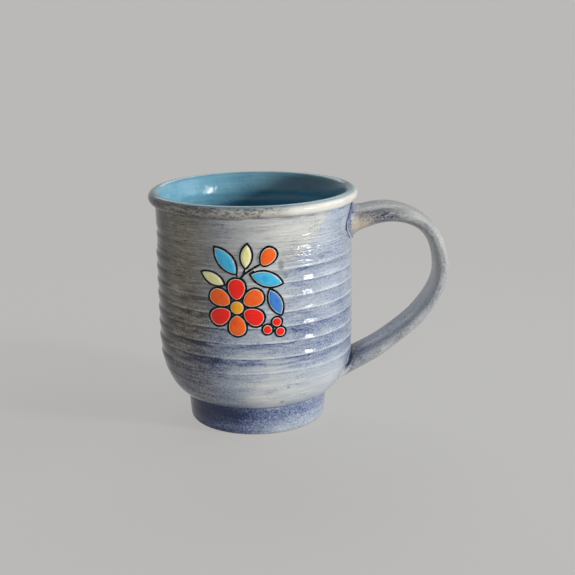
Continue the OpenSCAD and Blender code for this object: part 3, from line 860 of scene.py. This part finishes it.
def strap_section(s, around, grow=0.0):
    """Points of the strap's skin: around is 0 on the outer face and a quarter turn on at the back edge."""
    place, way = strap_at(s)
    half_w = strap_size(s, STRAP_W, UPPER_W, LOWER_W) / 2 + grow
    half_t = strap_size(s, STRAP_T, UPPER_T, LOWER_T) / 2 + grow
    cosine, sine = np.cos(around), np.sin(around)
    out = np.sign(cosine) * abs(cosine) ** (2 / CORNER_POWER) * half_t
    side = np.sign(sine) * abs(sine) ** (2 / CORNER_POWER) * half_w
    x = place[..., 0] - way[..., 1] * out
    z = place[..., 1] + way[..., 0] * out
    return np.stack(np.broadcast_arrays(x, side, z), axis=-1)


def strap_length(s):
    steps = np.linspace(0, 2, 400)
    place = strap_at(steps)[0]
    run = np.concatenate([[0], np.cumsum(np.linalg.norm(np.diff(place, axis=0), axis=1))])
    return np.interp(s, steps, run)


def root_place(upper):
    """Place along the strap where its middle line comes out of the slip."""
    steps = np.linspace(0, 1, 400) if upper else np.linspace(2, 1, 400)
    place = strap_at(steps)[0]
    outside = place[:, 0] > plain_r(place[:, 1]) + JOINT_T
    return steps[np.argmax(outside)]


def sunk_in_wall(points, depth):
    """Brings whatever lies deeper than a depth inside the wall back out to that depth."""
    radius = plain_r(points[..., 2]) - depth
    least_x = np.sqrt(np.maximum(radius ** 2 - points[..., 1] ** 2, 0))
    points = points.copy()
    points[..., 0] = np.maximum(points[..., 0], least_x)
    return points


def strap_creases(s, around):
    """Where a crease runs along the strap's inner face, deeper near the front than near the back."""
    long_way = rise(s, 0.6, 0.85) * (0.25 + 0.75 * rise(s, 1.45, 1.2)) * rise(s, 1.8, 1.7)
    front, back = bell(around - 2 * math.pi + CREASE_TURN, 0.26), bell(around - CREASE_TURN, 0.26)
    return (front + 0.7 * back) * long_way


def strap_looks(s, around, first, last):
    """What the handle's material reads. The strap leaves the slip at its first place and its last."""
    inner, outer = smooth_step(-np.cos(around) - 0.25), smooth_step(np.cos(around) - 0.2)
    # Paler on the outer underside by the lower end: partly pale glaze and partly a painted highlight.
    tail = rise(s, last - 0.1, last) * smooth_step(np.cos(around - 0.3) * 2)
    # The term at the lower end on the inner front side darkens it by the joint: painted shade.
    wash = (0.53 - 0.08 * smooth_step(s - 0.5) + 0.06 * rise(s, 1.1, 1.6) * inner
            - 0.16 * outer * bell(s - 0.8, 0.45) - 0.16 * inner * bell(s - 1.05, 0.3)
            - 0.06 * bell(s - 1, 0.35) + 0.2 * bell(s - last, 0.17) * bell(around - 3.9, 0.9) - 0.25 * tail)
    cool = 0.35 + 0.5 * rise(s, 0.8, 1.4) * (0.5 + 0.5 * inner)
    # Dark seam on the inner side where the lower end meets the wall: painted shadow in the crevice.
    seam = rise(s, last - 0.045, last + 0.005) * smooth_step(-np.cos(around - 0.25) * 2 - 0.3)
    past_crack = s - last + CRACK_BACK
    crack = bell(around - 5.35 - 0.9 * past_crack, 0.05) * smooth_step(1 - abs(past_crack) / 0.045)
    line = np.maximum(np.maximum(0.08 * strap_creases(s, around), seam), 0.8 * crack)
    worn = 0.7 * bell(around - 2 * math.pi + 1.05, 0.14) * bell(s - 1.58, 0.16)
    bare = worn + 0.6 * bell(s - first - 0.03, 0.035) * bell(around - 4.45, 0.55)
    blotch = bell(s - 0.245, 0.1) * bell(around - 4.75, 0.6)
    # Paler patch on the front edge of the upper limb: a painted highlight.
    pale = bell(s - 0.5, 0.09) * bell(around - 5.3, 0.6)
    return {"wash": wash, "cool": cool, "line": line, "bare": bare, "score": blotch, "pale": pale}


def strap_piece():
    first, last = root_place(True), root_place(False)
    spans = np.linspace(0, first, 14)[:-1], np.linspace(first, last, 200), np.linspace(last, 2, 12)[1:]
    s = np.concatenate(spans)[:, None]
    around = circle(88)[None, :]
    length = strap_length(s)
    uneven_skin = 0.1 * np.sin(length * 0.31 + around) + 0.07 * np.sin(length * 0.17 + 2 * around + 1)
    flutes = -0.14 * bell(np.cos(around) - 1, 0.5) * np.cos(6 * around) * rise(s, first, first + 0.3)
    grow = uneven_skin + flutes - CREASE_DEPTH * strap_creases(s, around)
    rows = sunk_in_wall(strap_section(s, around, grow), SUNK_DEPTH)
    across = 1.5 * STRAP_T * np.cos(around), STRAP_W / 2 * np.sin(around)
    flow = np.stack(np.broadcast_arrays(length, *across), axis=-1)
    obj = loft("pulled_strap", rows, handle_material(), strap_looks(s, around, first, last), flow, flip=True)
    clay_piece(obj, "handle_strap")


def strap_meets_wall(upper, around):
    """Place along the strap where each side of it comes out of the wall."""
    steps = np.linspace(0, 0.5, 160)[:, None] if upper else np.linspace(2, 1.5, 160)[:, None]
    skin = strap_section(steps, around)
    outside = np.hypot(skin[..., 0], skin[..., 1]) > plain_r(skin[..., 2]) + 0.1
    return steps[np.argmax(outside, axis=0), 0][None, :]


def on_wall(y, z, lift):
    """Points on the plain wall by the handle, lifted off it."""
    return np.stack([np.sqrt((plain_r(z) + lift) ** 2 - y ** 2), y, z], axis=-1)


def slip_wash(place):
    return 0.46 - 0.14 * bell(place - 0.16, 0.07)


def upper_looks(place, around, broken):
    """What the upper slip's material reads, with a pale seam at the lower end and a blue scribble above."""
    low_end = smooth_step(0.45 - np.cos(around))
    edge = bell(place - 0.05 - 0.09 * low_end, 0.04) * (0.4 + 0.35 * low_end)
    return {"wash": slip_wash(place), "line": edge * broken,
            "seam": 0.9 * rise(place, 0.09, 0.04) * low_end,
            "score": bell(place - 0.2, 0.3) * smooth_step(np.cos(around + 0.7) * 0.9 + 0.7),
            "run": 0.85 * bell(place - 0.12, 0.2) * smooth_step(np.cos(around + 0.3) * 1.4 + 0.5),
            "bare": 0.7 * bell(place - 0.85, 0.4) * bell(around - 4.5, 0.7)}


def lower_looks(place, around, broken):
    """What the lower slip's material reads: paler below, partly pale slip and partly a painted highlight,
    with painted shadow in the gap above.
    """
    low_side = smooth_step(np.cos(around + 0.3) * 1.5)
    edge = 0.5 * bell(place - 0.05, 0.06) * (1 - 0.8 * low_side)
    # Dark in the gap above the joint: painted shadow.
    gap_shadow = 1.3 * bell(place - 0.55, 0.32) * smooth_step(-np.cos(around - 0.3) * 2 - 0.3)
    return {"wash": slip_wash(place) - 0.3 * low_side, "line": np.maximum(edge * broken, gap_shadow),
            "score": 0.5 * bell(place - 0.3, 0.3) * (1 - low_side), "run": 0, "seam": 0, "bare": 0}


JOINT_ROWS = [0, 0.04, 0.09, 0.15, 0.22, 0.3, 0.38, 0.46, 0.54, 0.63, 0.72, 0.81, 0.9, 1]


def joint_piece(name, node, upper, half_w, half_h):
    """Soft collar of slip from a footprint on the wall up onto the strap."""
    sign = 1 if upper else -1
    around = circle(120)[None, :]
    middle_z = float(strap_at(root_place(upper))[0][1])
    meets = strap_meets_wall(upper, around)
    corner = strap_section(meets, around, 0.3)
    corner_y, corner_h = corner[..., 1], corner[..., 2] - middle_z
    ragged = 1 + waver(around, 0.02, 70 + upper, 9)
    foot_y, foot_h = half_w * np.sin(around) * ragged, sign * half_h * np.cos(around) * ragged
    least = (np.hypot(corner_y, corner_h) + JOINT_LAP) / np.hypot(foot_y, foot_h)
    foot_y, foot_h = foot_y * np.maximum(least, 1), foot_h * np.maximum(least, 1)

    below, foot = (on_wall(foot_y, middle_z + foot_h, lift) for lift in (-0.3, 0.1))
    bend = on_wall(corner_y, middle_z + corner_h, 0.15)
    core = on_wall(corner_y * 0.8, middle_z + corner_h * 0.8, -1.2)
    on_strap, under_strap = (strap_section(meets + sign * JOINT_REACH, around, grow) for grow in (0.04, -0.7))
    place = np.array(JOINT_ROWS)[:, None]
    share = place[..., None]
    skin = (1 - share) ** 2 * foot + 2 * share * (1 - share) * bend + share ** 2 * on_strap
    skin[..., 0] += 0.14 * np.sin(around * 9 + 4 * place) * bell(place - 0.3, 0.2)
    skin[..., 0] += waver(around, 0.1, 75, 8) * bell(place - 0.25, 0.2)
    rows = np.concatenate([below, skin, under_strap, core])

    place = np.concatenate([[[0]], place, [[1], [1]]])
    broken = np.clip(0.75 + waver(around, 0.4, 77), 0, 1)
    looks = (upper_looks if upper else lower_looks)(place, around, broken)
    looks["cool"] = 0.8 - 0.35 * place
    obj = loft(name, rows, slip_material(), looks, poles=False, closed=True, flip=upper)
    clay_piece(obj, node)


# Enamel

def petal_outline(size, grow, count=72):
    """Egg-shaped loop, from its length and width."""
    length, width = size
    a = circle(count)
    swell = 1 + PETAL_SWELL * np.cos(a)
    return np.stack([(length / 2 + grow) * np.cos(a), (width / 2 + grow) * np.sin(a) * swell], axis=-1)


def leaf_arc(size):
    """Radius of a leaf's two sides, and how far beyond its middle line each one has its own middle."""
    half_l, half_w = LEAF_L * size / 2, LEAF_W * size / 2
    arc_r = (half_l ** 2 + half_w ** 2) / (2 * half_w)
    return arc_r, arc_r - half_w


def leaf_outline(size, grow, count=72):
    arc_r, beyond = leaf_arc(size)
    tip = math.sqrt((arc_r + grow) ** 2 - beyond ** 2)
    x = tip * np.cos(circle(count)[:count // 2])
    y = np.sqrt(np.maximum((arc_r + grow) ** 2 - x ** 2, 0)) - beyond
    return np.concatenate([np.stack([x, y], axis=-1), np.stack([-x, -y], axis=-1)])


def ring_outline(radius, grow, count=48):
    a = circle(count)
    return np.stack([(radius + grow) * np.cos(a), (radius + grow) * np.sin(a)], axis=-1)


def spray_place(shares):
    return np.array([shares[0] * SPRAY_W, shares[1] * SPRAY_H])


def turned(points, degrees):
    c, s = math.cos(math.radians(degrees)), math.sin(math.radians(degrees))
    return points @ np.array([[c, s], [-s, c]])


def petal_place(angle):
    way = np.array([math.cos(math.radians(angle)), math.sin(math.radians(angle))])
    return spray_place(BLOSSOM_AT) + PETAL_MID_R * way


OUTLINES = {"petal": petal_outline, "leaf": leaf_outline, "ring": ring_outline}

# Fields of enamel: node, kind of outline, size, middle, angle and enamel
BLOSSOM = [(f"petal_{i}", "petal", (PETAL_L, PETAL_W), petal_place(30 + 60 * i), 30 + 60 * i,
            "enamel_red" if i % 2 else "enamel_orange") for i in range(1, 7)]
BLOSSOM += [("blossom_core", "ring", CORE_R, spray_place(BLOSSOM_AT), 0, "enamel_amber")]
SPRIGS = [("bud", "petal", (BUD_L, BUD_W), spray_place(BUD_AT), BUD_ANGLE, "enamel_orange")]
SPRIGS += [(f"leaf_{i}", "leaf", size, spray_place(at), angle, enamel)
           for i, ((at, size, angle), enamel) in enumerate(zip(LEAVES, LEAF_ENAMELS), 1)]
SPRIGS += [(f"berry_{i}", "ring", BERRY_R, spray_place(at), 0, "enamel_red")
           for i, at in enumerate(BERRIES, 1)]


def on_front(flat, lift):
    """Puts flat points of the spray on the front of the wall, lifted off it."""
    x, z = flat[..., 0] + SPRAY_X, flat[..., 1] + SPRAY_Z
    angle = np.arctan2(-np.sqrt(WALL_R ** 2 - x ** 2), x)
    level = z - ring_shift(angle, z)
    depth = ring_marks(angle, level)[0]
    eased = wall_r_at(angle, z) + 0.45 * depth * (lift > 0)
    radius = eased + lift
    return np.stack([x, -np.sqrt(radius ** 2 - x ** 2), z], axis=-1)


# Dome of a field: share of the way to its rim, and height
DOME = [(0.02, 1), (0.2, 1), (0.4, 0.985), (0.58, 0.955), (0.72, 0.9),
        (0.83, 0.8), (0.9, 0.68), (0.95, 0.53), (0.98, 0.36), (1, 0.16)]


def field_piece(node, kind, size, middle, angle, enamel, material):
    """Domed field of enamel with a thin pale film that runs out under the line."""
    grows = 0, HALO_W, HALO_W + 0.2
    rim, film, tuck = (turned(OUTLINES[kind](size, grow), angle) + middle for grow in grows)
    loops = [(rim, share, 0.05 + 0.36 * height, share, 0) for share, height in DOME]
    loops += [(film, 1, 0.05, 1, 1), (tuck, 1, 0.02, 1, 1)]
    loops += [(tuck, share, -0.2, 1, 1) for share in (1, 0.6, 0.2, 0.02)]
    rows = np.stack([on_front(middle + (loop - middle) * share, lift) for loop, share, lift, _, _ in loops])
    looks = {"edge": [[loop[3]] for loop in loops], "halo": [[loop[4]] for loop in loops]}
    obj = loft("enamel_" + node, rows, material, looks, flip=True)
    clay_piece(obj, node)


def shape_grow(kind, size, points):
    """How far a shape would have to grow for its outline to reach each point; less than zero inside."""
    if kind == "ring":
        return np.linalg.norm(points, axis=-1) - size
    if kind == "leaf":
        arc_r, beyond = leaf_arc(size)
        upper, lower = (np.linalg.norm(points + np.array([0, side]), axis=-1) for side in (beyond, -beyond))
        return np.maximum(upper, lower) - arc_r
    length, width = size
    low = np.full(points.shape[:-1], -0.98 * min(length, width) / 2)
    high = np.full(points.shape[:-1], 60.0)
    for _ in range(34):
        grow = (low + high) / 2
        u = points[..., 0] / (length / 2 + grow)
        v = points[..., 1] / ((width / 2 + grow) * (1 + PETAL_SWELL * np.clip(u, -1, 1)))
        outside = u * u + v * v > 1
        low, high = np.where(outside, grow, low), np.where(outside, high, grow)
    return (low + high) / 2


def fields_grow(points, fields):
    """The same for the nearest one of several fields, each in its place."""
    return np.min([shape_grow(kind, size, turned(points - middle, -angle))
                   for _, kind, size, middle, angle, _ in fields], axis=0)


def stem_distance(points):
    nearest = np.full(points.shape[:-1], 1e3)
    for shares in STEMS:
        curve = np.array([spray_place(share) for share in shares])
        for place in curve_at(curve, np.linspace(0, 1, 90))[0]:
            nearest = np.minimum(nearest, np.linalg.norm(points - place, axis=-1))
    return nearest


def uneven(points):
    """A hand's small unevenness."""
    x, y = points[..., 0], points[..., 1]
    waves = np.sin(1.7 * x + 0.6 * y) + np.sin(0.9 * y - 1.1 * x + 2) + 0.7 * np.sin(2.9 * y + 1.3 * x + 4)
    return LINE_UNEVEN * waves


def blossom_depth(points):
    """How deep points lie inside the blossom's drawn line; less than zero outside it."""
    grow = fields_grow(points, BLOSSOM)
    return np.minimum(grow - HALO_W, HALO_W + LINE_W - grow + uneven(points))


def sprig_depth(points):
    """The same for the line of the sprigs, which ends behind the blossom."""
    grow, blossom = fields_grow(points, SPRIGS), fields_grow(points, BLOSSOM)
    stroke = np.maximum(HALO_W + LINE_W - grow, LINE_W / 2 - stem_distance(points)) + uneven(points)
    return np.minimum(np.minimum(stroke, grow - HALO_W), blossom - HALO_W - LINE_W)


def cell_loops(ring, inside):
    """Loops round the inside of the line in one cell, made of corners and of pairs for the crossed edges."""
    before, after = ring[-1:] + ring[:-1], ring[1:] + ring[:1]
    if inside[ring[0]] == inside[ring[2]] != inside[ring[1]] == inside[ring[3]]:
        return [[(a, b), b, (b, c)] for a, b, c in zip(before, ring, after) if inside[b]]
    loop = []
    for a, b in zip(ring, after):
        if inside[a]:
            loop.append(a)
        if inside[a] != inside[b]:
            loop.append((a, b))
    return [loop]


def line_piece(name, node, depth_of, material):
    """Drawn line in relief, from a field that is above zero inside the line."""
    half_w, half_h = SPRAY_W / 2 + 4, SPRAY_H / 2 + 4
    xs, ys = np.arange(-half_w, half_w, LINE_GRID), np.arange(-half_h, half_h, LINE_GRID)
    grid = np.stack(np.meshgrid(xs, ys, indexing="ij"), axis=-1)
    value = depth_of(grid)
    value = np.where(abs(value) < 1e-4, 1e-4, value)
    numbers, flats, lifts, faces = {}, [], [], []

    def corner(place, top):
        if (place, top) not in numbers:
            numbers[place, top] = len(flats)
            flats.append(grid[place])
            rounding = math.sqrt(min(value[place], LINE_W / 2) / (LINE_W / 2))
            lifts.append(0.02 + 0.2 * rounding if top else -0.22)
        return numbers[place, top]

    def crossing(edge):
        a, b = sorted(edge)
        if (a, b) not in numbers:
            numbers[a, b] = len(flats)
            share = value[a] / (value[a] - value[b])
            flats.append(grid[a] * (1 - share) + grid[b] * share)
            lifts.append(-0.04)
        return numbers[a, b]

    inside = value > 0
    busy = inside[:-1, :-1] | inside[1:, :-1] | inside[:-1, 1:] | inside[1:, 1:]
    for i, j in np.argwhere(busy).tolist():
        for loop in cell_loops([(i, j), (i + 1, j), (i + 1, j + 1), (i, j + 1)], inside):
            for top in (True, False):
                face = [crossing(item) if isinstance(item[0], tuple) else corner(item, top) for item in loop]
                faces.append(face if top else face[::-1])
    obj = make_mesh(name, on_front(np.array(flats), np.array(lifts)), faces, material, sharp=60)
    clay_piece(obj, node)


# Enamels: deep, middle and pale colour
ENAMELS = {"enamel_red": ((250, 12, 4), (255, 24, 6), (255, 110, 60)),
           "enamel_orange": ((255, 68, 8), (255, 106, 22), (255, 184, 96)),
           "enamel_amber": ((240, 150, 18), (252, 176, 36), (250, 212, 124)),
           "enamel_sky": ((44, 164, 220), (70, 192, 240), (186, 230, 240)),
           "enamel_blue": ((48, 108, 190), (66, 134, 216), (160, 196, 232)),
           "enamel_cream": ((240, 234, 150), (250, 248, 186), (252, 250, 224))}


def spray_pieces():
    enamels = {name: enamel_material(name, *colors) for name, colors in ENAMELS.items()}
    line = line_material()
    for field in BLOSSOM + SPRIGS:
        field_piece(*field, enamels[field[-1]])
    line_piece("drawn_blossom", "blossom_line", blossom_depth, line)
    line_piece("drawn_sprigs", "spray_line", sprig_depth, line)


# Studio

GROUND = (186, 185, 183)
ROOM_LIGHT = (0.066, 0.06, 0.05)
PAPER_SHADE, PAPER_BOUNCE = 0.75, 0.34
PAPER_FADE = (0.08, 0.32)
NEAR_SHARE, NEAR_GLOW = 0.74, 1.1
LAMP_TARGET = np.array([0, 0, 0.055])
WINDOW_COLOR = (1.0, 0.985, 0.955)


def put(obj, right, up, back, place):
    """Puts a camera or lamp in the scene. It looks away from its back, and its place is in metres."""
    rows = [(right[row], up[row], back[row], place[row]) for row in range(3)]
    obj.matrix_world = Matrix(rows + [(0, 0, 0, 1)])
    bpy.context.scene.collection.objects.link(obj)


def set_camera():
    yaw, pitch, roll = (math.radians(a) for a in (CAMERA_YAW, CAMERA_PITCH, CAMERA_ROLL))
    ahead = np.array([math.sin(yaw) * math.cos(pitch), math.cos(yaw) * math.cos(pitch), -math.sin(pitch)])
    right = np.array([math.cos(yaw), -math.sin(yaw), 0])
    up = np.cross(right, ahead)
    right, up = math.cos(roll) * right + math.sin(roll) * up, math.cos(roll) * up - math.sin(roll) * right
    data = bpy.data.cameras.new("camera")
    data.sensor_width = SENSOR_W
    data.lens = FOCAL_PX * SENSOR_W / IMAGE_SIDE
    data.clip_start, data.clip_end = 0.01, 100
    camera = bpy.data.objects.new("camera", data)
    put(camera, right, up, -ahead, np.array(CAMERA_AT) * MM)
    bpy.context.scene.camera = camera


def add_lamp(name, azimuth, elevation, distance, size, power, color, shows=True):
    """Soft lamp aimed at the mug. Azimuth turns from the viewer's side, to the right."""
    data = bpy.data.lights.new(name, "AREA")
    data.shape = "RECTANGLE"
    data.size, data.size_y = size
    data.energy = power
    data.color = color
    lamp = bpy.data.objects.new(name, data)
    a, e = math.radians(azimuth), math.radians(elevation)
    right = np.array([math.cos(a), math.sin(a), 0])
    back = np.array([math.sin(a) * math.cos(e), -math.cos(a) * math.cos(e), math.sin(e)])
    put(lamp, right, np.cross(back, right), back, LAMP_TARGET + back * distance)
    lamp.visible_camera = False
    lamp.visible_glossy = shows


def set_lamps():
    for column in (-1, 0, 1):
        for row in (-1, 1):
            azimuth, elevation = 62.2 + 2.5 * column, 12 + 2.6 * row
            add_lamp("window", azimuth, elevation, 1.3, (0.03, 0.095), 0.5, WINDOW_COLOR)
    add_lamp("window_light", 65, 12, 1.3, (0.2, 0.2), 9.5, WINDOW_COLOR, shows=False)
    add_lamp("room", -8, 1, 1.6, (1.4, 0.14), 10.0, (1.0, 0.98, 0.95), shows=False)
    add_lamp("sky", 98, 22, 1.6, (0.9, 1.1), 5.5, (0.82, 0.9, 1.0))
    add_lamp("behind", 184, 40, 1.6, (1.4, 1.0), 7.5, (0.97, 0.98, 1.0))


def set_world():
    world = bpy.data.worlds.new("studio")
    world.use_nodes = True
    nodes = Nodes(world.node_tree)
    color = nodes.mix(nodes.is_seen(), ROOM_LIGHT, linear(GROUND))
    nodes.wire(nodes.tree.nodes["Background"].inputs["Color"], color)
    bpy.context.scene.world = world


def floor_material():
    """Pale paper. Near the mug it takes shadows, and further off it is the plain background."""
    material = bpy.data.materials.new("floor_paper")
    material.use_nodes = True
    nodes = Nodes(material.node_tree)
    nodes.tree.nodes.remove(nodes.tree.nodes["Principled BSDF"])
    seen = nodes.is_seen()
    from_mug = nodes.node("VectorMath", operation="LENGTH")
    nodes.wire(from_mug.inputs[0], nodes.node("TexCoord").outputs["Object"])
    distance = from_mug.outputs["Value"]
    paper = nodes.node("BsdfDiffuse")
    nodes.wire(paper.inputs["Color"], nodes.mix(seen, (PAPER_BOUNCE,) * 3, (PAPER_SHADE,) * 3))
    glow = nodes.node("Emission")
    glow.inputs["Color"].default_value = (*linear(GROUND), 1)
    nodes.wire(glow.inputs["Strength"], nodes.spread(distance, *PAPER_FADE, NEAR_GLOW, 1))
    share = nodes.math("MULTIPLY", seen, nodes.spread(distance, *PAPER_FADE, NEAR_SHARE, 1))
    mix = nodes.node("MixShader")
    nodes.wire(mix.inputs["Fac"], share)
    nodes.wire(mix.inputs[1], paper.outputs["BSDF"])
    nodes.wire(mix.inputs[2], glow.outputs["Emission"])
    nodes.wire(nodes.tree.nodes["Material Output"].inputs["Surface"], mix.outputs["Shader"])
    return material


def set_floor():
    half = 40.0
    mesh = bpy.data.meshes.new("floor")
    corners = [(-half, -half, 0), (half, -half, 0), (half, half, 0), (-half, half, 0)]
    mesh.from_pydata(corners, [], [(0, 1, 2, 3)])
    mesh.materials.append(floor_material())
    floor = bpy.data.objects.new("floor", mesh)
    bpy.context.scene.collection.objects.link(floor)


bpy.context.scene.view_settings.view_transform = "Standard"
set_camera()
set_floor()
set_world()
set_lamps()

wall_piece()
foot_piece()
lip_piece()
liner_piece()
strap_piece()
joint_piece("upper_slip", "upper_joint", True, UPPER_W / 2 + UPPER_LAP_W, UPPER_T / 2 + UPPER_LAP_H)
joint_piece("lower_slip", "lower_joint", False, LOWER_W / 2 + LOWER_LAP_W, LOWER_T / 2 + LOWER_LAP_H)
spray_pieces()
